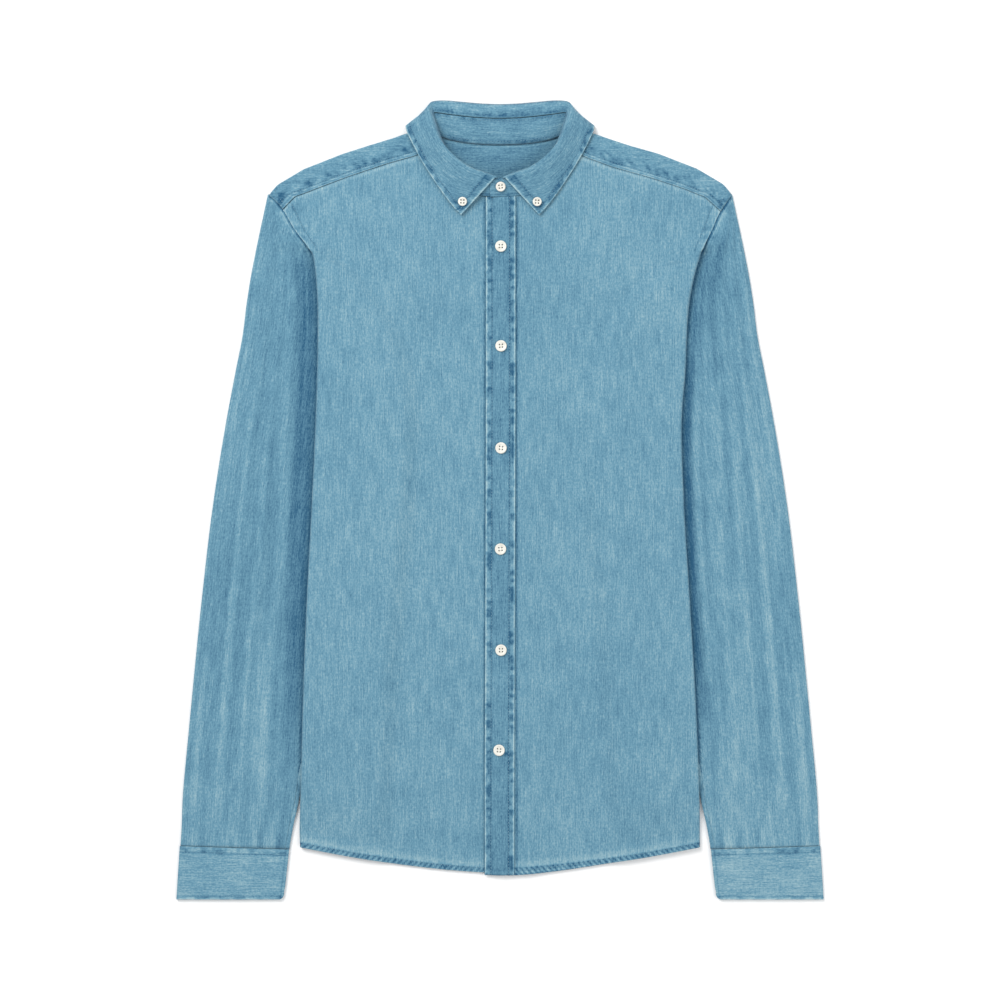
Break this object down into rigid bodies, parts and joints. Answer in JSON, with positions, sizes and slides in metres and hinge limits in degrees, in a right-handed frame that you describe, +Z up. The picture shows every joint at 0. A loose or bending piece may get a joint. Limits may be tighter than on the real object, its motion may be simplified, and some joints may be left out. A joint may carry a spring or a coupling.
{
  "type": "denim shirt",
  "caption": "Long-sleeved light blue denim shirt with a buttoned front and pinned collar, laid flat with its sides tucked under.",
  "frame": {"origin": "centre of the laid shirt's outline, on the surface it lies on", "axes": "+X across the shirt to its wearer's left, +Y towards the collar, +Z up from the surface"},
  "size_m": [0.648, 0.7993, 0.0193],
  "materials": {
    "denim": "matte washed",
    "button": "satin"
  },
  "bodies": {
    "root": {"front_right": "denim", "front_left": "denim", "back": "denim", "placket": "denim", "yoke": "denim", "sleeve_right": "denim", "sleeve_left": "denim", "vent_right": "denim", "vent_left": "denim", "cuff_right": "denim", "cuff_left": "denim", "collar_stand": "denim", "collar_leaf": "denim", "button_front_1": "button", "button_front_2": "button", "button_front_3": "button", "button_front_4": "button", "button_front_5": "button", "button_front_6": "button", "button_stand": "button", "button_tip_right": "button", "button_tip_left": "button"}
  },
  "joints": []
}
